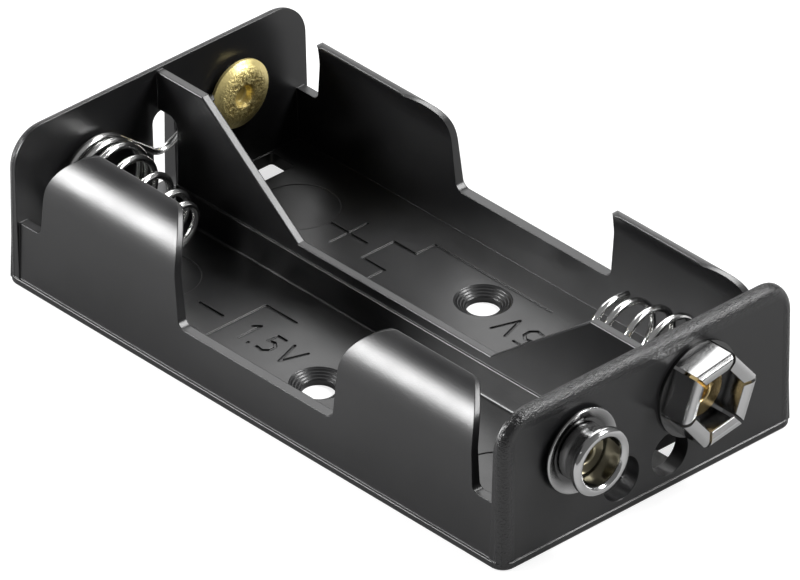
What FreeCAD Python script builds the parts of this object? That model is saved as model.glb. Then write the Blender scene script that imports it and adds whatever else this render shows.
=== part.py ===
"""Holder for two AA cells side by side, with curled side grips and a pair of snap terminals.

Millimetres. X runs along the cells with the snap terminals at +X, Y runs across the two bays
and Z is up. The origin is the centre of the tray's underside.
"""
import FreeCAD
import Part
import math
import os

Vector = FreeCAD.Vector
x_way = Vector(1, 0, 0)
y_way = Vector(0, 1, 0)
z_way = Vector(0, 0, 1)

# Tray: base plinth, floor and end walls
tray_length = 58.0
tray_width = 31.65
tray_height = 13.8
plinth_height = 0.7
plinth_ledge = 0.12
plinth_corner = 1.3
plinth_bottom_edge = 0.3
plinth_top_edge = 0.08
floor_thickness = 1.1
end_wall_top = 1.0
end_wall_draft = 2.0
end_wall_corner = 3.2
end_wall_edge = 0.9
rooting = 0.3

# Side walls and the grips curled over the cells
side_inset = 0.22
side_draft = 2.2
side_thickness = 1.055
low_wall_height = 4.8
notch_height = 5.8
notch_width = 2.5
notch_lean = 4.0
cutout_minus_x = 8.72
cutout_minus_lean = 7.7
cutout_plus_x = 9.2
cutout_plus_lean = 4.5
grip_top = 13.4
grip_bend_start = 8.9
grip_outer_radius = 4.9
grip_outer_sweep = 71.0
grip_inner_radius = 4.75
grip_inner_sweep = 63.0
grip_corner = 4.0
notch_corner = 0.6
cutout_corner = 0.8

# Partition between the bays, with a gusset at each end
partition_foot_width = 1.2
partition_foot_height = 4.0
partition_root = 0.25
partition_width = 0.8
partition_height = 4.95
partition_edge = 0.12
gusset_height = 13.55
gusset_top_length = 5.37
gusset_reach = 16.67

# Window in the -X end wall, where the link wire crosses to the other bay
window_low_y = -1.0
window_high_y = 1.3
window_low_z = 2.1
window_high_z = 9.8
window_corner = 1.0
cutback_reach = 2.3
cutback_above_window = 0.3
cutback_corner = 1.0

# Holes through the +X end wall, and slots and screw holes through the floor
wall_hole_radius = 1.95
wall_hole_z = 3.2
wall_hole_places = (2.25, -3.05)
floor_slot_from_wall = 0.14
floor_slot_width = 2.8
floor_slot_inner = 3.575
floor_slot_outer = 3.925
floor_slot_corner = 0.3
screw_x = 0.5
screw_beyond_bay_middle = 1.325
screw_hole_radius = 1.4
screw_sink_radius = 2.4
screw_throat = 0.5
disc_from_wall = 7.69
disc_radius = 3.4
disc_depth = 0.06

# Marks engraved in the floor
mark_width = 0.25
mark_depth = 0.13
plus_x = -14.13
minus_x = -13.27
sign_beyond_bay_middle = 0.275
plus_arm = 2.05
minus_arm = 1.33
cell_mark_start = -10.67
cell_mark_shoulder = -8.1
cell_mark_inner = 4.25
cell_mark_outer = 11.7
cell_mark_near_reach = 3.5
cell_mark_far_reach = 13.5
nub_mark_inner = 6.15
nub_mark_outer = 9.62
figure_height = 2.4
figure_step = 2.0
figure_y = 9.0
figure_near_x = -8.7
figure_far_x = 9.4

# Contact springs
wire = 0.6
wire_gap = 0.02
coil_wall_radius = 3.8
link_coil_z = 6.75
link_free_radius = 1.83
link_stretches = ((2, 0.95), (1, 1.5), (2, 2.5), (1.375, 1.35))
link_taper_start = 2
terminal_coil_z = 7.45
terminal_leaves_eye = 128.5
terminal_coil_tilt = 0.11
terminal_free_radius = 3.06
terminal_stretches = ((0.125, 0), (0.875, 1.45), (3, 2.5), (1.25, 1.4))
corners_per_turn = 8
arc_share = 0.48
lead_low_y = -0.63
lead_low_z = 6.13
lead_bend = 1.7
lead_loop_turns = 0.5
eye_turns = 0.625

# Link rivet at the -X end
rivet_beyond_bay_middle = 0.325
rivet_z = 8.3
rivet_shank = 1.6
rivet_head = 3.05
rivet_head_height = 0.45
rivet_crown = 2.45
rivet_dome_start = 2.25
rivet_dome = 1.2
rivet_rim_drop = 0.3
rivet_rim = 0.25
rivet_dimple = 0.95
rivet_dimple_floor = 0.7
rivet_dimple_depth = 0.7
rivet_dimple_edge = 0.3
rivet_tail = 2.3
rivet_tail_thickness = 0.35
rivet_tail_edge = 0.2
pin_fit = 0.02

# Snap terminals on the +X end wall
snap_pitch = 12.7
snap_z = 8.15
stud_beyond_bay_middle = 0.175
snap_reach = 2.97
eyelet_shank = 1.3
eyelet_bore = 0.95
eyelet_sheet = 0.3
eyelet_edge = 0.1
eyelet_mouth = 0.2
stud_eyelet_inner_head = 3.0
stud_eyelet_outer_head = 1.95
washer_radius = 3.7
washer_sheet = 0.3
washer_flat = 2.75
washer_rise = 0.4
washer_bend = 0.2
washer_edge = 0.14
post_bore = 2.1
post_sheet = 0.3
post_rim = 2.91
post_root = 0.2
post_flare = 1.2
post_rim_roll = 0.49
post_floor_corner = 0.15
socket_base = 4.15
socket_base_sheet = 0.3
socket_corner = 4.08
socket_tabs = 6
socket_turn = 39.0
socket_sheet = 0.3
socket_fold = 0.5
socket_lip = 1.2
socket_lip_back = 0.45
socket_slit = 0.3
socket_tip_roll = 0.45
socket_eyelet_inner_head = 2.4
socket_eyelet_outer_head = 2.3

# Values worked out from the sizes above
wall_outer = tray_length / 2 - plinth_ledge
wall_root = wall_outer - rooting
wall_foot_z = plinth_height - rooting
side_outer = tray_width / 2 - side_inset
bay_side = side_outer - side_thickness
bay_middle = (partition_foot_width / 2 + bay_side) / 2
end_half_width = tray_width / 2 - plinth_ledge
rivet_y = bay_middle + rivet_beyond_bay_middle
stud_y = -bay_middle - stud_beyond_bay_middle
socket_y = stud_y + snap_pitch
snap_front = wall_outer + snap_reach


def tan(degrees):
    return math.tan(math.radians(degrees))


def polar(y, z, radius, degrees):
    """Point in an end view, at an angle from +Y towards +Z around a centre."""
    angle = math.radians(degrees)
    return y + radius * math.cos(angle), z + radius * math.sin(angle)


def wall_inner(z):
    """Distance from the middle to the inner face of an end wall at a height."""
    return wall_outer - end_wall_top - (tray_height - z) * tan(end_wall_draft)


def end_view(y, z, x=0.0):
    return Vector(x, y, z)


def side_view(x, z):
    return Vector(x, 0, z)


def plan_view(x, y):
    return Vector(x, y, 0)


def box(low, high):
    size = high - low
    return Part.makeBox(size.x, size.y, size.z, low)


def rod(centre, radius, length, way):
    return Part.makeCylinder(radius, length, centre, way)


def corner_arc(before, corner, after, reach):
    """Arc that rounds a corner and meets both its sides at the reach from it."""
    back = (before - corner).normalize()
    on = (after - corner).normalize()
    half = back.getAngle(on) / 2
    radius = reach * math.tan(half)
    inward = (back + on).normalize()
    middle = corner + inward * (radius / math.sin(half) - radius)
    return Part.Arc(corner + back * reach, middle, corner + on * reach).toShape()


def ends(station):
    if isinstance(station, Vector):
        return station, station
    return station.Vertexes[0].Point, station.Vertexes[-1].Point


def chain(stations):
    """Wire through points and arcs in order, with straight runs between them."""
    edges = []
    for here, ahead in zip(stations, stations[1:]):
        if not isinstance(here, Vector):
            edges.append(here)
        start = ends(here)[1]
        end = ends(ahead)[0]
        if start.distanceToPoint(end) > 1e-6:
            edges.append(Part.LineSegment(start, end).toShape())
    if not isinstance(stations[-1], Vector):
        edges.append(stations[-1])
    return Part.Wire(edges)


def outline(view, corners):
    """Flat face from corners, each two coordinates of the view and a rounding radius."""
    points = [view(u, v) for u, v, radius in corners]
    stations = []
    for index, corner in enumerate(points):
        before = points[index - 1]
        after = points[(index + 1) % len(points)]
        radius = corners[index][2]
        if radius:
            half = (before - corner).getAngle(after - corner) / 2
            stations.append(corner_arc(before, corner, after, radius / math.tan(half)))
        else:
            stations.append(corner)
    stations.append(ends(stations[0])[0])
    return Part.Face(chain(stations))


def sharp(corners):
    return [(u, v, 0) for u, v in corners]


def turned(corners, y, z):
    """Solid turned around an axis along X, from corners given as x, radius and rounding."""
    face = outline(side_view, corners)
    solid = face.revolve(Vector(0, 0, 0), x_way, 360)
    solid.translate(Vector(0, y, z))
    return solid


def mirrored_y(shape):
    return shape.mirror(Vector(0, 0, 0), y_way)


def edges_along(shape, way):
    """Straight edges of a shape that run along a direction."""
    found = []
    for edge in shape.Edges:
        run = edge.Vertexes[-1].Point - edge.Vertexes[0].Point
        if run.Length > 1e-6 and run.cross(way).Length < 1e-6 * run.Length:
            found.append(edge)
    return found


def edges_in_plane(shape, way, distance):
    """Edges that lie wholly in the plane at a distance along a direction."""
    found = []
    for edge in shape.Edges:
        span = (edge.FirstParameter, (edge.FirstParameter + edge.LastParameter) / 2, edge.LastParameter)
        if all(abs(edge.valueAt(at).dot(way) - distance) < 1e-6 for at in span):
            found.append(edge)
    return found


def plinth():
    low = Vector(-tray_length / 2, -tray_width / 2, 0)
    high = Vector(tray_length / 2, tray_width / 2, plinth_height)
    block = box(low, high)
    block = block.makeFillet(plinth_corner, edges_along(block, z_way))
    block = block.makeFillet(plinth_bottom_edge, edges_in_plane(block, z_way, 0))
    return block.makeFillet(plinth_top_edge, edges_in_plane(block, z_way, plinth_height))


def floor():
    low = Vector(-wall_root, -bay_side - rooting, wall_foot_z)
    high = Vector(wall_root, bay_side + rooting, floor_thickness)
    return box(low, high)


def end_wall(side):
    """End wall with a drafted inner face, rounded top corners and a rounded outer edge."""
    lean = outline(side_view, sharp([
        (side * wall_outer, wall_foot_z),
        (side * wall_outer, tray_height),
        (side * wall_inner(tray_height), tray_height),
        (side * wall_inner(wall_foot_z), wall_foot_z),
    ]))
    lean.translate(y_way * -end_half_width)
    front = outline(end_view, [
        (-end_half_width, wall_foot_z, 0),
        (end_half_width, wall_foot_z, 0),
        (end_half_width, tray_height, end_wall_corner),
        (-end_half_width, tray_height, end_wall_corner),
    ])
    wall = front.extrude(x_way * side * tray_length)
    wall = wall.common(lean.extrude(y_way * 2 * end_half_width))
    rim = edges_in_plane(wall, x_way * side, wall_outer)
    foot = edges_in_plane(wall, z_way, wall_foot_z)
    rim = [edge for edge in rim if not any(edge.isSame(other) for other in foot)]
    return wall.makeFillet(end_wall_edge, rim)


def side_section():
    """End view of the +Y side wall and the grip curled over from it."""
    bend_y = side_outer - (grip_bend_start - plinth_height) * tan(side_draft)
    centre_y = bend_y - grip_outer_radius * math.cos(math.radians(side_draft))
    centre_z = grip_bend_start - grip_outer_radius * math.sin(math.radians(side_draft))
    inner_y = bay_side - grip_inner_radius
    outer = [
        end_view(*polar(centre_y, centre_z, grip_outer_radius, angle))
        for angle in (side_draft, grip_outer_sweep / 2, grip_outer_sweep)
    ]
    inner = [
        end_view(*polar(inner_y, grip_bend_start, grip_inner_radius, angle))
        for angle in (grip_inner_sweep, grip_inner_sweep / 2, 0)
    ]
    foot = end_view(side_outer + rooting * tan(side_draft), wall_foot_z)
    inner_foot = end_view(bay_side, wall_foot_z)
    wire_round = chain([foot, Part.Arc(*outer).toShape(), Part.Arc(*inner).toShape(), inner_foot, foot])
    return Part.Face(wire_round)


def grip_end(x, foot_z, lean, foot_corner):
    """Corners of one end of a grip in side view, from its foot up."""
    top_x = x + (grip_top - foot_z) * tan(lean)
    return [(x, foot_z, foot_corner), (top_x, grip_top, grip_corner)]


def side_wall():
    """+Y side wall: low in the middle and at the ends, with two tall grips."""
    notch_x = wall_inner(notch_height) - notch_width
    outer_minus = grip_end(-notch_x, notch_height, notch_lean, notch_corner)
    inner_minus = grip_end(-cutout_minus_x, low_wall_height, -cutout_minus_lean, cutout_corner)
    inner_plus = grip_end(cutout_plus_x, low_wall_height, cutout_plus_lean, cutout_corner)
    outer_plus = grip_end(notch_x, notch_height, -notch_lean, notch_corner)
    shape = outline(side_view, [
        (wall_root, wall_foot_z, 0),
        (-wall_root, wall_foot_z, 0),
        (-wall_root, notch_height, 0),
        *outer_minus,
        *inner_minus[::-1],
        *inner_plus,
        *outer_plus[::-1],
        (wall_root, notch_height, 0),
    ])
    section = side_section()
    section.translate(x_way * -wall_root)
    length = section.extrude(x_way * 2 * wall_root)
    return length.common(shape.extrude(y_way * tray_width))


def partition_foot():
    """Thick foot of the partition, with a rounded root on the floor at each side."""
    half = partition_foot_width / 2
    root = half + 2 * partition_root
    foot = outline(end_view, [
        (-root, wall_foot_z, 0),
        (root, wall_foot_z, 0),
        (root, floor_thickness, 0),
        (half, floor_thickness, partition_root),
        (half, partition_foot_height, partition_edge),
        (-half, partition_foot_height, partition_edge),
        (-half, floor_thickness, partition_root),
        (-root, floor_thickness, 0),
    ])
    foot.translate(x_way * -wall_root)
    return foot.extrude(x_way * 2 * wall_root)


def partition():
    """Wall between the bays with its thicker foot and the sloping gusset at each end."""
    top_end = wall_inner(gusset_height) - gusset_top_length
    foot_end = wall_inner(gusset_height) - gusset_reach
    rib = outline(side_view, sharp([
        (-wall_root, wall_foot_z),
        (-wall_root, gusset_height),
        (-top_end, gusset_height),
        (-foot_end, partition_height),
        (foot_end, partition_height),
        (top_end, gusset_height),
        (wall_root, gusset_height),
        (wall_root, wall_foot_z),
    ]))
    rib.translate(y_way * -partition_width / 2)
    rib = rib.extrude(y_way * partition_width)
    across = edges_along(rib, y_way)
    upright = edges_along(rib, z_way)
    base = edges_in_plane(rib, z_way, wall_foot_z)
    crest = [edge for edge in rib.Edges if not any(edge.isSame(other) for other in across + upright + base)]
    rib = rib.makeFillet(partition_edge, crest)
    return partition_foot().fuse(rib)


def link_window():
    """Arched window through the -X end wall, and the gusset cut back behind it."""
    arch = outline(lambda y, z: end_view(y, z, -tray_length), [
        (window_low_y, window_low_z, 0),
        (window_high_y, window_low_z, 0),
        (window_high_y, window_high_z, window_corner),
        (window_low_y, window_high_z, window_corner),
    ])
    through = arch.extrude(x_way * (tray_length - wall_inner(0)))
    top = window_high_z + cutback_above_window
    end = cutback_reach - wall_inner(window_high_z)
    back = outline(side_view, [
        (-wall_inner(floor_thickness), floor_thickness, 0),
        (end, floor_thickness, 0),
        (end, top, cutback_corner),
        (-wall_inner(top), top, 0),
    ])
    back.translate(y_way * -partition_foot_width)
    return [through, back.extrude(y_way * 2 * partition_foot_width)]


def wall_holes():
    start = wall_inner(0)
    length = tray_length - start
    return [rod(Vector(start, y, wall_hole_z), wall_hole_radius, length, x_way) for y in wall_hole_places]


def fastener_holes():
    """Holes in the end walls for the rivet and for the two snap eyelets."""
    places = ((-tray_length, rivet_y, rivet_z, rivet_shank), (tray_length / 4, stud_y, snap_z, eyelet_shank),
              (tray_length / 4, socket_y, snap_z, eyelet_shank))
    return [rod(Vector(x, y, z), radius + pin_fit, 3 * tray_length / 4, x_way) for x, y, z, radius in places]


def floor_cuts():
    """Slots under the contacts, countersunk screw holes and shallow round dishes."""
    wall = wall_inner(floor_thickness)
    slot_end = wall - floor_slot_from_wall
    slot_start = slot_end - floor_slot_width
    inner = bay_middle - floor_slot_inner
    outer = bay_middle + floor_slot_outer
    cuts = []
    for x_side in (-1, 1):
        for y_side in (-1, 1):
            slot = outline(plan_view, [
                (x_side * slot_start, y_side * inner, floor_slot_corner),
                (x_side * slot_end, y_side * inner, floor_slot_corner),
                (x_side * slot_end, y_side * outer, floor_slot_corner),
                (x_side * slot_start, y_side * outer, floor_slot_corner),
            ])
            cuts.append(slot.extrude(z_way * floor_thickness))
            disc_x = x_side * (wall - disc_from_wall)
            disc = Vector(disc_x, y_side * bay_middle, floor_thickness - disc_depth)
            cuts.append(rod(disc, disc_radius, disc_depth, z_way))
    for side in (-1, 1):
        centre = Vector(screw_x, side * (bay_middle + screw_beyond_bay_middle), 0)
        sink = Part.makeCone(screw_hole_radius, screw_sink_radius, floor_thickness - screw_throat,
                             centre + z_way * screw_throat, z_way)
        cuts += [rod(centre, screw_hole_radius, floor_thickness, z_way), sink]
    return cuts


def groove(start, end):
    """Round-ended groove in the floor between two plan points."""
    base = Vector(start[0], start[1], floor_thickness - mark_depth)
    run = Vector(end[0] - start[0], end[1] - start[1], 0)
    half = mark_width / 2
    across = z_way.cross(run).normalize() * half
    corners = [base + across, base + run + across, base + run - across, base - across, base + across]
    body = Part.Face(Part.makePolygon(corners)).extrude(z_way * mark_depth)
    rounds = [rod(base, half, mark_depth, z_way), rod(base + run, half, mark_depth, z_way)]
    return body.fuse(rounds)


def grooves(points):
    return [groove(start, end) for start, end in zip(points, points[1:])]


def figures(x, y, way):
    """Cell voltage in plain strokes; way is 1 to read along +X and -1 to read along -X."""
    high = figure_height
    lines = [
        [(0, 0), (0, high), (-0.2 * high, 0.8 * high)],
        [(figure_step * 1.45, high), (figure_step, high), (figure_step * 0.95, 0.58 * high),
         (figure_step * 1.25, 0.64 * high), (figure_step * 1.5, 0.48 * high), (figure_step * 1.52, 0.22 * high),
         (figure_step * 1.3, 0.02 * high), (figure_step * 0.95, 0.06 * high)],
        [(figure_step * 1.95, high), (figure_step * 2.35, 0), (figure_step * 2.75, high)],
        [(figure_step * 0.5, 0), (figure_step * 0.5, 0.02 * high)],
    ]
    cuts = []
    for line in lines:
        cuts += grooves([(x + way * along, y + way * up) for along, up in line])
    return cuts


def marks():
    """Polarity signs, the cells' voltage and the outline of the end of each cell."""
    near_end = cell_mark_start + cell_mark_near_reach
    far_end = cell_mark_shoulder + cell_mark_far_reach
    sign_y = bay_middle + sign_beyond_bay_middle
    cuts = [
        groove((plus_x - plus_arm, sign_y), (plus_x + plus_arm, sign_y)),
        groove((plus_x, sign_y - plus_arm), (plus_x, sign_y + plus_arm)),
        groove((minus_x - minus_arm, -sign_y), (minus_x + minus_arm, -sign_y)),
    ]
    cuts += grooves([
        (cell_mark_shoulder, cell_mark_inner), (cell_mark_shoulder, nub_mark_inner),
        (cell_mark_start, nub_mark_inner), (cell_mark_start, nub_mark_outer), (cell_mark_shoulder, nub_mark_outer),
        (cell_mark_shoulder, cell_mark_outer), (far_end, cell_mark_outer),
    ])
    cuts += grooves([
        (near_end, -cell_mark_inner), (cell_mark_start, -cell_mark_inner),
        (cell_mark_start, -cell_mark_outer + figure_step / 2),
    ])
    return cuts + figures(figure_near_x, -figure_y, 1) + figures(figure_far_x, figure_y, -1)


def tray():
    wall = side_wall()
    body = plinth().fuse([floor(), end_wall(-1), end_wall(1), wall, mirrored_y(wall), partition()])
    cuts = link_window() + wall_holes() + fastener_holes() + floor_cuts() + marks()
    return body.cut(cuts).removeSplitter()


def advance(turn, stretches):
    """Distance along a coil after some turns, from stretches of turns and pitch."""
    total = 0
    for turns, pitch in stretches:
        total += min(turn, turns) * pitch
        turn = max(turn - turns, 0)
    return total


def coil_corners(start, way, angle, sense, radii, stretches, taper_start=0):
    """Corners around a coil from its wall end.

    The start is on the coil's axis and the way points along it, one long in X. The radius goes
    from the first to the second, in a straight line from the turn where the taper starts.
    """
    total = sum(turns for turns, pitch in stretches)
    corners = []
    for step in range(round(total * corners_per_turn)):
        turn = (step + 0.5) / corners_per_turn
        share = max(turn - taper_start, 0) / (total - taper_start)
        radius = radii[0] + (radii[1] - radii[0]) * share
        radius /= math.cos(math.pi / corners_per_turn)
        y, z = polar(0, 0, radius, angle + sense * 360 * turn)
        corners.append(start + way * advance(turn, stretches) + Vector(0, y, z))
    return corners


def bent_wire(corners, bends):
    """Round wire through corners; a corner is as round as its runs allow, or has its own bend."""
    stations = [corners[0]]
    for before, corner, after in zip(corners, corners[1:], corners[2:]):
        reach = arc_share * min(before.distanceToPoint(corner), after.distanceToPoint(corner))
        if corner in bends:
            half = (before - corner).getAngle(after - corner) / 2
            reach = min(reach, bends[bends.index(corner) + 1] / math.tan(half))
        stations.append(corner_arc(before, corner, after, reach))
    stations.append(corners[-1])
    path = chain(stations)
    first = path.Edges[0]
    circle = Part.makeCircle(wire / 2, first.valueAt(first.FirstParameter), first.tangentAt(first.FirstParameter))
    return path.makePipeShell([Part.Wire([circle])], True, True)


def loop_x():
    """X of the wire's middle where it lies on the -X end wall under the rivet."""
    return -wall_inner(rivet_z - rivet_head) + wire / 2 + wire_gap


def rivet_loop():
    """Corners of the wire's loop over the rivet's shank, starting at its end under the lead."""
    radius = rivet_shank + wire / 2 + wire_gap
    away_y = rivet_y - lead_low_y
    away_z = rivet_z - lead_low_z
    slope = math.degrees(math.atan2(away_z, away_y))
    leave = slope + 180 - math.degrees(math.acos(radius / math.hypot(away_y, away_z)))
    centre = Vector(loop_x(), rivet_y, rivet_z)
    return coil_corners(centre, x_way, leave, -1, (radius, radius), [(lead_loop_turns, 0)])


def coil_wall_x(coil_z):
    """Distance from the middle to the wire's centre where a coil lies on an end wall."""
    return wall_inner(coil_z - coil_wall_radius - wire) - wire / 2 - wire_gap


def link_spring():
    """Coil of the -Y bay, drawn out into a lead that crosses to the rivet and loops its shank."""
    low = Vector(loop_x(), lead_low_y, lead_low_z)
    start = Vector(-coil_wall_x(link_coil_z), -bay_middle, link_coil_z)
    away_y = lead_low_y - start.y
    away_z = lead_low_z - start.z
    slope = math.degrees(math.atan2(away_z, away_y))
    leave = slope + math.degrees(math.acos(coil_wall_radius / math.hypot(away_y, away_z)))
    coil = coil_corners(start, x_way, leave, 1, (coil_wall_radius, link_free_radius),
                        link_stretches, link_taper_start)
    return bent_wire(rivet_loop()[::-1] + [low] + coil, [low, lead_bend])


def terminal_spring():
    """Coil of the +Y bay, drawn from an eye around the socket's eyelet; its axis sinks as it leaves the wall."""
    wall_x = coil_wall_x(terminal_coil_z)
    eye_radius = eyelet_shank + wire / 2 + wire_gap
    eye = coil_corners(Vector(wall_x, socket_y, snap_z), x_way, terminal_leaves_eye, 1,
                       (eye_radius, eye_radius), [(eye_turns, 0)])
    coil = coil_corners(Vector(wall_x, bay_middle, terminal_coil_z), Vector(-1, 0, -terminal_coil_tilt),
                        terminal_leaves_eye, -1, (coil_wall_radius, terminal_free_radius), terminal_stretches)
    return bent_wire(eye[::-1] + coil, [])


def link_rivet():
    """Hollow rivet with a domed head, a central dimple and a flat tail outside the wall."""
    under = loop_x() + wire / 2 + wire_gap
    top = under + rivet_head_height
    dish = top - rivet_dimple_depth
    rim = under - rivet_rim_drop
    tail = -wall_outer - rivet_tail_thickness
    body = turned([
        (tail, 0, 0),
        (tail, rivet_tail, rivet_tail_edge),
        (-wall_outer, rivet_tail, 0),
        (-wall_outer, rivet_shank, 0),
        (under, rivet_shank, 0),
        (under, rivet_crown, 0),
        (rim, rivet_head, 0),
        (rim + rivet_rim, rivet_head, rivet_rim / 3),
        (top, rivet_dome_start, rivet_dome),
        (top, rivet_dimple, rivet_dimple_edge),
        (dish, rivet_dimple_floor, rivet_dimple_edge),
        (dish, 0, 0),
    ], rivet_y, rivet_z)
    low = Vector(loop_x(), lead_low_y, lead_low_z)
    first = rivet_loop()[0]
    return body.cut(rod(low, wire / 2 + wire_gap, low.distanceToPoint(first), first - low))


def eyelet(y, inner_x, outer_x, inner_head, outer_head):
    """Hollow eyelet through the +X wall with a rolled head at each end."""
    back = inner_x - eyelet_sheet
    front = outer_x + eyelet_sheet
    return turned([
        (back, eyelet_bore, eyelet_mouth),
        (back, inner_head, eyelet_edge),
        (inner_x, inner_head, eyelet_edge),
        (inner_x, eyelet_shank, 0),
        (outer_x, eyelet_shank, 0),
        (outer_x, outer_head, eyelet_edge),
        (front, outer_head, eyelet_edge),
        (front, eyelet_bore, eyelet_mouth),
    ], y, snap_z)


def stud_washer():
    """Dished washer that carries the stud on the outside of the wall."""
    inner = eyelet_shank + pin_fit
    near = wall_outer + washer_rise
    return turned([
        (wall_outer, inner, 0),
        (wall_outer, washer_flat, washer_bend),
        (near, washer_radius, 0),
        (near + washer_sheet, washer_radius, washer_edge),
        (wall_outer + washer_sheet, washer_flat, washer_bend),
        (wall_outer + washer_sheet, inner, 0),
    ], stud_y, snap_z)


def stud_post():
    """Stud: a tube with a thin bottom and a rolled rim that the mating socket grips."""
    base = wall_outer + washer_sheet
    neck = post_bore + post_sheet
    rim_width = post_rim - post_bore
    throat = snap_front - rim_width
    return turned([
        (base, eyelet_shank + pin_fit, 0),
        (base, neck, post_root),
        (throat - rim_width, neck, post_flare),
        (throat + rim_width / 4, post_rim, post_root),
        (snap_front, post_rim, rim_width * post_rim_roll),
        (snap_front, post_bore, rim_width * post_rim_roll),
        (base + post_sheet, post_bore, post_floor_corner),
        (base + post_sheet, eyelet_shank + pin_fit, 0),
    ], stud_y, snap_z)


def socket_tab():
    """Uppermost tab of the socket, a bent strip between two slits, around the X axis."""
    half_step = 180 / socket_tabs
    root = wall_outer + socket_base_sheet / 2
    flat = socket_corner * math.cos(math.radians(half_step))
    lip = flat - socket_lip
    slope = socket_lip_back / socket_lip
    fold_x = snap_front + socket_fold * (slope + math.hypot(1, slope) - 1)
    tip_x = fold_x - socket_lip_back
    tip_round = socket_tip_roll * socket_sheet
    tab = outline(side_view, [
        (root, flat, 0),
        (fold_x, flat, socket_fold),
        (tip_x, lip, tip_round),
        (tip_x - socket_sheet, lip, tip_round),
        (fold_x - socket_sheet * (1 + slope), flat - socket_sheet, socket_fold - socket_sheet),
        (root, flat - socket_sheet, 0),
    ])
    tab.translate(y_way * -socket_corner)
    tab = tab.extrude(y_way * 2 * socket_corner)
    reach = 2 * socket_corner
    side = reach * tan(half_step)
    back = socket_slit / 2 / math.sin(math.radians(half_step))
    wedge = outline(lambda y, z: end_view(y, z, root), sharp([(0, back), (side, back + reach), (-side, back + reach)]))
    return tab.common(wedge.extrude(x_way * (fold_x - wall_outer)))


def socket_shell():
    """Socket: a round base with bent tabs around it, whose lips turn in to grip a stud."""
    base = rod(Vector(wall_outer, 0, 0), socket_base, socket_base_sheet, x_way)
    base = base.cut(rod(Vector(wall_outer, 0, 0), eyelet_shank + pin_fit, socket_base_sheet, x_way))
    tab = socket_tab()
    tabs = []
    for count in range(socket_tabs):
        tabs.append(tab.copy())
        tabs[-1].rotate(Vector(0, 0, 0), x_way, socket_turn - 90 + 360 / socket_tabs * count)
    shell = base.fuse(tabs).removeSplitter()
    shell.translate(Vector(0, socket_y, snap_z))
    return shell


def stud_eyelet():
    outer_x = wall_outer + washer_sheet + post_sheet
    return eyelet(stud_y, wall_inner(snap_z - stud_eyelet_inner_head), outer_x,
                  stud_eyelet_inner_head, stud_eyelet_outer_head)


def socket_eyelet():
    inner_x = coil_wall_x(terminal_coil_z) - wire / 2 - wire_gap
    return eyelet(socket_y, inner_x, wall_outer + socket_base_sheet,
                  socket_eyelet_inner_head, socket_eyelet_outer_head)


os.makedirs("parts", exist_ok=True)
pieces = {
    "tray": tray,
    "link_spring": link_spring,
    "link_rivet": link_rivet,
    "terminal_spring": terminal_spring,
    "stud_washer": stud_washer,
    "stud_post": stud_post,
    "stud_eyelet": stud_eyelet,
    "socket_shell": socket_shell,
    "socket_eyelet": socket_eyelet,
}
for name, make in pieces.items():
    shape = make()
    print(name, shape.ShapeType, shape.isValid(), len(shape.Solids), len(shape.Faces), round(shape.Volume, 3))
    shape.exportStep("parts/" + name + ".step")
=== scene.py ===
"""Looks of the battery holder: moulded black plastic, plated snaps and springs, brass fasteners."""
import math

import bpy
from mathutils import Matrix, Vector


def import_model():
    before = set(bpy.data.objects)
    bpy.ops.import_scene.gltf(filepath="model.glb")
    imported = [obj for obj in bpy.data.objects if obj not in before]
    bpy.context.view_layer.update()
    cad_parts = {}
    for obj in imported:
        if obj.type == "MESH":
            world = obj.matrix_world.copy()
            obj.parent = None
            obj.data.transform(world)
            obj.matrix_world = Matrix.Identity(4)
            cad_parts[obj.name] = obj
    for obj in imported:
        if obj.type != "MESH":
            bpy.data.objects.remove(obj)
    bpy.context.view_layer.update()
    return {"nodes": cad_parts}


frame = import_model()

scene = bpy.context.scene
nodes = frame["nodes"]
mm = 0.001


def low_and_high(node):
    """The two corners of a CAD node's box, in the node's own axes."""
    corners = nodes[node].bound_box
    low = Vector([min(corner[axis] for corner in corners) for axis in range(3)])
    high = Vector([max(corner[axis] for corner in corners) for axis in range(3)])
    return low, high


# The photograph's view: angles in radians, lengths in metres, and the sensor's width in millimetres
view_azimuth = 0.8214612
view_elevation = 0.5704837
view_roll = 0.0013287
view_distance = 1.10479
view_right = 0.242 * mm
view_up = 4.725 * mm
view_lift = 0.1 * mm
sensor_width = 36.0
image_width = 800
focal_pixels = 13929.2
nearest_seen = 0.05
farthest_seen = 100

# The tray's size from its middle, and the rivet's axis
tray_end, tray_side, tray_top = low_and_high("tray")[1]
rivet_low, rivet_high = low_and_high("link_rivet")
rivet_axis = (rivet_low + rivet_high) / 2

# Textured rims of the end walls: where the texture starts and where it is full, in z, y and x
rim_low_z = tray_top - 1.5 * mm
rim_high_z = tray_top - 0.8 * mm
rim_inner_y = tray_side - 1.425 * mm
rim_outer_y = tray_side - 0.825 * mm
rim_inner_x = tray_end - 1.05 * mm
rim_outer_x = tray_end - 0.9 * mm

# Snap terminals' sheet: painted shade up to the first x, near the wall, and the plate's own bright grey
# from the second
painted_shade_x = tray_end + 0.22 * mm
own_grey_x = tray_end + 0.6 * mm
painted_shade_grey = 0.14
plate_grey = 0.56

# Countersunk screw holes, one in each bay
screw_x = 0.5 * mm
screw_y = 8.9 * mm
screw_sink = 2.42 * mm
ring_pitch = 0.24 * mm

# Link rivet: radii of its grainy ring, the grain left outside it, and the noise that darkens the ring. The
# darkened ring is partly real grain and partly painted shade, and it leaves the edge and dimple pale as a
# painted highlight.
grain_starts = 0.7 * mm
grain_full = 1.1 * mm
grain_wanes = 1.7 * mm
grain_ends = 2.7 * mm
grain_left = 0.1
dark_noise = 0.42
pale_noise = 0.62
darkest = 0.9

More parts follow.
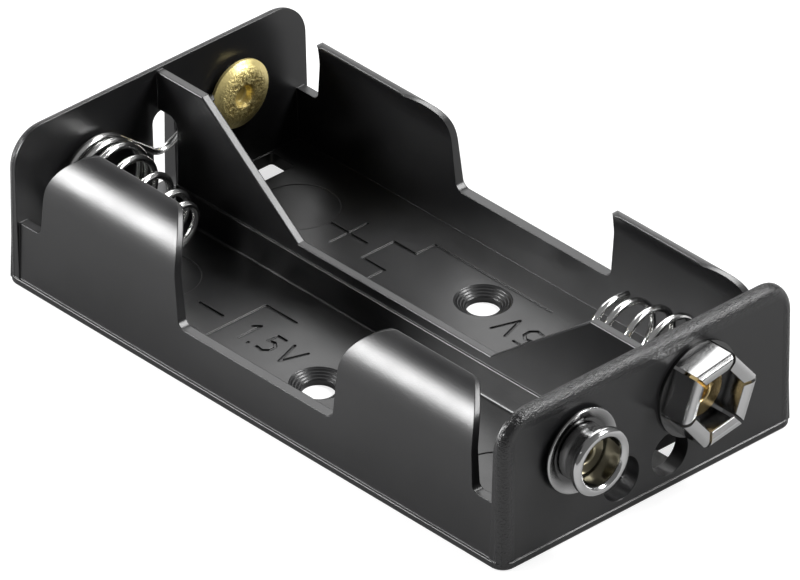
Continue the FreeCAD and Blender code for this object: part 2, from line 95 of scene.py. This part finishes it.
# Colours
black = (0.008, 0.008, 0.0086, 1)
nickel = (0.92, 0.92, 0.91, 1)
clean_brass = (0.72, 0.55, 0.27, 1)
# Darker, greyer brass for the eyelet inside the stud's post
dark_olive_brass = (0.32, 0.29, 0.20, 1)
pale_brass_painted_highlight = (1.0, 0.84, 0.36, 1)
dark_brass_painted_shade = (0.42, 0.30, 0.09, 1)
floor_colour = (0.42, 0.42, 0.42, 1)
white = (1, 1, 1, 1)

# Roughness of the plastic, and the range of a noise that varies the roughness of any material
noise_low = 0.3
noise_high = 0.7
satin_low = 0.30
satin_high = 0.37
rim_gloss = 0.09

# Relief of each surface, the size of a metal's ripples by its grain, and the radius that edges seem to have
mould_relief = 0.007 * mm
rim_relief = 0.11 * mm
ring_relief = 0.012 * mm
ripple_relief = 0.006 * mm
rivet_relief = 0.25 * mm
ripple_scale = 0.6
edge_radius = 0.11 * mm

# Light
aim = Vector((0, 0, 6 * mm))
world_strength = 0.17
seen_glow = 0.7
mirrored_glow = 0.05
floor_half = 3.0


def new_material(name):
    """A new material, its node tree and the tree's Principled shader."""
    material = bpy.data.materials.new(name)
    material.use_nodes = True
    tree = material.node_tree
    shader = tree.nodes["Principled BSDF"]
    return material, tree, shader


def add(tree, kind, **values):
    """A node of a kind, with its properties and its unlinked input values set."""
    made = tree.nodes.new(kind)
    for name, value in values.items():
        if name in made.inputs:
            made.inputs[name].default_value = value
        else:
            setattr(made, name, value)
    return made


def object_coords(tree):
    """Place of the shaded point in the object's own axes."""
    return tree.nodes.new("ShaderNodeTexCoord").outputs["Object"]


def parts_of(tree, vector):
    """The X, Y and Z of a vector, by name."""
    split = tree.nodes.new("ShaderNodeSeparateXYZ")
    tree.links.new(vector, split.inputs[0])
    return split.outputs


def noise(tree, coords, scale, detail, roughness=0.5):
    """Cloudy value from 0 to 1. The scale is in clouds per metre, about."""
    made = add(tree, "ShaderNodeTexNoise", Scale=scale, Detail=detail, Roughness=roughness)
    tree.links.new(coords, made.inputs["Vector"])
    return made.outputs["Fac"]


def math_node(tree, operation, first, second=0):
    """Result of an operation on two values or sockets, or on the first where it takes only one."""
    made = add(tree, "ShaderNodeMath", operation=operation)
    for socket, value in zip(made.inputs, (first, second)):
        if isinstance(value, (int, float)):
            socket.default_value = value
        else:
            tree.links.new(value, socket)
    return made.outputs[0]


def ramp(tree, value, low, high, out_low, out_high):
    """Value mapped in a straight line from one range to another, held at its ends."""
    made = tree.nodes.new("ShaderNodeMapRange")
    tree.links.new(value, made.inputs["Value"])
    numbers = {"From Min": low, "From Max": high, "To Min": out_low, "To Max": out_high}
    for name, number in numbers.items():
        made.inputs[name].default_value = number
    return made.outputs["Result"]


def bump(tree, height, relief, below=None, strength=1.0):
    """Normal with a height's relief on it, laid over another normal if there is one."""
    made = add(tree, "ShaderNodeBump", Distance=relief, Strength=strength)
    tree.links.new(height, made.inputs["Height"])
    if below is not None:
        tree.links.new(below, made.inputs["Normal"])
    return made.outputs["Normal"]


def rounded_edges(tree):
    """Normal that turns smoothly over each sharp edge, so that edges catch the light."""
    return add(tree, "ShaderNodeBevel", samples=8, Radius=edge_radius).outputs["Normal"]


def distance_from(tree, along, across, middle_along, middle_across):
    """Distance of the shaded point from an axis, from its two coordinates across that axis."""
    along = math_node(tree, "SUBTRACT", along, middle_along)
    across = math_node(tree, "SUBTRACT", across, middle_across)
    square = math_node(tree, "MULTIPLY", along, along)
    square = math_node(tree, "ADD", square, math_node(tree, "MULTIPLY", across, across))
    return math_node(tree, "SQRT", square)


def rim_mask(tree, out_x, out_y, z):
    """1 on the end walls' textured rims and 0 elsewhere, from x and y without their signs."""
    high = ramp(tree, z, rim_low_z, rim_high_z, 0, 1)
    wide = ramp(tree, out_y, rim_inner_y, rim_outer_y, 0, 1)
    rim = math_node(tree, "MAXIMUM", high, wide)
    return math_node(tree, "MULTIPLY", rim, ramp(tree, out_x, rim_inner_x, rim_outer_x, 0, 1))


def turned_rings(tree, x, out_y):
    """Height of the fine rings that the cutter leaves in the screw holes' countersinks."""
    reach = distance_from(tree, x, out_y, screw_x, screw_y)
    rings = math_node(tree, "SINE", math_node(tree, "MULTIPLY", reach, math.tau / ring_pitch))
    return math_node(tree, "MULTIPLY", rings, ramp(tree, reach, screw_sink - ring_pitch, screw_sink, 1, 0))


def plastic():
    """Black moulded plastic: satin, with a coarse sparkling texture on the end walls' rounded rims."""
    material, tree, shader = new_material("black_plastic")
    coords = object_coords(tree)
    place = parts_of(tree, coords)
    out_x = math_node(tree, "ABSOLUTE", place["X"])
    out_y = math_node(tree, "ABSOLUTE", place["Y"])
    rim = rim_mask(tree, out_x, out_y, place["Z"])

    shader.inputs["Base Color"].default_value = black
    shader.inputs["IOR"].default_value = 1.5
    shader.inputs["Specular IOR Level"].default_value = 0.66

    cloud = noise(tree, coords, scale=260, detail=4)
    roughness = ramp(tree, cloud, noise_low, noise_high, satin_low, satin_high)
    roughness = math_node(tree, "ADD", roughness, math_node(tree, "MULTIPLY", rim, -rim_gloss))
    tree.links.new(roughness, shader.inputs["Roughness"])

    fine = noise(tree, coords, scale=9000, detail=3)
    sparkle = noise(tree, coords, scale=4200, detail=2, roughness=0.7)
    normal = bump(tree, fine, mould_relief, below=rounded_edges(tree))
    normal = bump(tree, math_node(tree, "MULTIPLY", rim, sparkle), rim_relief, below=normal)
    normal = bump(tree, turned_rings(tree, place["X"], out_y), ring_relief, below=normal)
    tree.links.new(normal, shader.inputs["Normal"])
    return material


def metal(name, rough_low, rough_high, grain):
    """Metal with a slightly uneven finish. Its colour is set by the function that calls this one."""
    material, tree, shader = new_material(name)
    coords = object_coords(tree)
    shader.inputs["Metallic"].default_value = 1.0
    uneven = noise(tree, coords, scale=grain, detail=5)
    roughness = ramp(tree, uneven, noise_low, noise_high, rough_low, rough_high)
    tree.links.new(roughness, shader.inputs["Roughness"])
    ripple = noise(tree, coords, scale=grain * ripple_scale, detail=3)
    tree.links.new(bump(tree, ripple, ripple_relief, strength=0.5), shader.inputs["Normal"])
    return material, tree, shader


def plain_metal(name, colour, rough_low, rough_high, grain):
    """Metal of one colour."""
    material, tree, shader = metal(name, rough_low, rough_high, grain)
    shader.inputs["Base Color"].default_value = colour
    return material


def plated_sheet():
    """Bright plate on the snap terminals, with painted shade where the sheet lies against the wall."""
    material, tree, shader = metal("plated_sheet", rough_low=0.12, rough_high=0.24, grain=500)
    place = parts_of(tree, object_coords(tree))
    # Painted shade: the sheet's grey darkens towards the wall, in place of the dark reflections there.
    grey = ramp(tree, place["X"], painted_shade_x, own_grey_x, painted_shade_grey, plate_grey)
    shade = tree.nodes.new("ShaderNodeCombineColor")
    for channel in shade.inputs:
        tree.links.new(grey, channel)
    tree.links.new(shade.outputs[0], shader.inputs["Base Color"])
    return material


def grainy_brass_painted_highlight():
    """Pale brass rivet: a painted highlight at its edge and in its dimple, with dark grain between them
    that is partly painted shade.
    """
    material, tree, shader = new_material("grainy_brass_painted_highlight")
    coords = object_coords(tree)
    place = parts_of(tree, coords)
    reach = distance_from(tree, place["Y"], place["Z"], rivet_axis.y, rivet_axis.z)
    past_dimple = ramp(tree, reach, grain_starts, grain_full, grain_left, 1)
    before_edge = ramp(tree, reach, grain_wanes, grain_ends, 1, grain_left)
    ring = math_node(tree, "MULTIPLY", past_dimple, before_edge)
    grain = noise(tree, coords, scale=3600, detail=3, roughness=0.6)
    # Painted shade in the grainy ring, so that the pale edge and dimple stand as a painted highlight; the
    # grain itself is real.
    dark = math_node(tree, "MULTIPLY", ring, ramp(tree, grain, dark_noise, pale_noise, darkest, 0))
    tint = tree.nodes.new("ShaderNodeValToRGB")
    tint.color_ramp.elements[0].color = pale_brass_painted_highlight
    tint.color_ramp.elements[1].color = dark_brass_painted_shade
    tree.links.new(dark, tint.inputs[0])
    tree.links.new(tint.outputs["Color"], shader.inputs["Base Color"])
    shader.inputs["Metallic"].default_value = 0.65
    shader.inputs["Roughness"].default_value = 0.36
    height = math_node(tree, "MULTIPLY", ring, grain)
    tree.links.new(bump(tree, height, rivet_relief), shader.inputs["Normal"])
    return material


def dress(node, material):
    """A CAD node given its one material."""
    piece = nodes[node]
    piece.data.materials.clear()
    piece.data.materials.append(material)


def view_axes():
    """Right, up and forward of the photograph's view."""
    sin_a, cos_a = math.sin(view_azimuth), math.cos(view_azimuth)
    sin_e, cos_e = math.sin(view_elevation), math.cos(view_elevation)
    right = Vector((cos_a, sin_a, 0))
    forward = Vector((-sin_a * cos_e, cos_a * cos_e, -sin_e))
    up = right.cross(forward)
    turned_right = right * math.cos(view_roll) + up * math.sin(view_roll)
    turned_up = up * math.cos(view_roll) - right * math.sin(view_roll)
    return turned_right, turned_up, forward


def camera():
    """Camera at the photograph's view."""
    right, up, forward = view_axes()
    data = bpy.data.cameras.new("camera")
    data.sensor_width = sensor_width
    data.lens = focal_pixels * sensor_width / image_width
    data.clip_start = nearest_seen
    data.clip_end = farthest_seen
    made = bpy.data.objects.new("camera", data)
    scene.collection.objects.link(made)
    place = right * view_right + up * view_up - forward * view_distance + Vector((0, 0, view_lift))
    turn = Matrix((right, up, -forward)).transposed().to_4x4()
    made.matrix_world = Matrix.Translation(place) @ turn
    scene.camera = made


def soft_light(name, towards, along, distance, width, height, radiance):
    """Rectangular light that faces the object, with its width along a direction. Lengths in metres."""
    data = bpy.data.lights.new(name, "AREA")
    data.shape = "RECTANGLE"
    data.size = width
    data.size_y = height
    data.energy = radiance * math.pi * width * height
    made = bpy.data.objects.new(name, data)
    scene.collection.objects.link(made)
    back = Vector(towards).normalized()
    up = back.cross(Vector(along)).normalized()
    turn = Matrix((up.cross(back), up, back)).transposed().to_4x4()
    made.matrix_world = Matrix.Translation(aim + back * distance) @ turn


def background_glow(tree):
    """Glow for rays from the camera and from gloss or glass, nought for light that falls on things."""
    path = tree.nodes.new("ShaderNodeLightPath").outputs
    mirrored = math_node(tree, "MAXIMUM", path["Is Glossy Ray"], path["Is Transmission Ray"])
    mirrored = math_node(tree, "MULTIPLY", mirrored, mirrored_glow)
    seen = math_node(tree, "MULTIPLY", path["Is Camera Ray"], seen_glow)
    return math_node(tree, "MAXIMUM", seen, mirrored)


def floor():
    """White floor, plain and matte. It keeps the object's shadow."""
    corners = [Vector(corner) * floor_half for corner in ((-1, -1, 0), (1, -1, 0), (1, 1, 0), (-1, 1, 0))]
    mesh = bpy.data.meshes.new("floor")
    mesh.from_pydata(corners, [], [(0, 1, 2, 3)])
    made = bpy.data.objects.new("floor", mesh)
    scene.collection.objects.link(made)
    material, tree, shader = new_material("floor")
    shader.inputs["Base Color"].default_value = floor_colour
    shader.inputs["Roughness"].default_value = 0.9
    shader.inputs["Specular IOR Level"].default_value = 0.0
    glow = tree.nodes.new("ShaderNodeEmission")
    tree.links.new(background_glow(tree), glow.inputs["Strength"])
    both = tree.nodes.new("ShaderNodeAddShader")
    tree.links.new(shader.outputs[0], both.inputs[0])
    tree.links.new(glow.outputs[0], both.inputs[1])
    tree.links.new(both.outputs[0], tree.nodes["Material Output"].inputs["Surface"])
    mesh.materials.append(material)


def world():
    """Plain white light from all round."""
    made = bpy.data.worlds.new("world")
    scene.world = made
    made.use_nodes = True
    background = made.node_tree.nodes["Background"]
    background.inputs["Color"].default_value = white
    background.inputs["Strength"].default_value = world_strength


camera()
floor()
world()
soft_light("key_light", towards=(-0.62, -0.63, 0.38), along=(0.7, -0.7, 0),
           distance=0.6, width=0.25, height=0.25, radiance=28)
soft_light("top_light", towards=(-0.62, 0.49, 0.60), along=(0.62, 0.78, 0),
           distance=0.8, width=0.7, height=0.6, radiance=2.3)
soft_light("rim_light", towards=(0.50, 0.57, 0.65), along=(0.79, 0, -0.61),
           distance=0.6, width=0.54, height=0.14, radiance=20)

plated_wire = plain_metal("plated_wire", nickel, rough_low=0.12, rough_high=0.22, grain=900)
sheet_with_painted_shade = plated_sheet()
brass = plain_metal("brass", clean_brass, rough_low=0.16, rough_high=0.32, grain=600)
dull_brass = plain_metal("dull_brass", dark_olive_brass, rough_low=0.24, rough_high=0.40, grain=600)
finishes = {
    "tray": plastic(),
    "link_spring": plated_wire,
    "terminal_spring": plated_wire,
    "link_rivet": grainy_brass_painted_highlight(),
    "stud_washer": sheet_with_painted_shade,
    "stud_post": sheet_with_painted_shade,
    "stud_eyelet": dull_brass,
    "socket_shell": sheet_with_painted_shade,
    "socket_eyelet": brass,
}
for node, material in finishes.items():
    dress(node, material)

scene.view_settings.view_transform = "Standard"
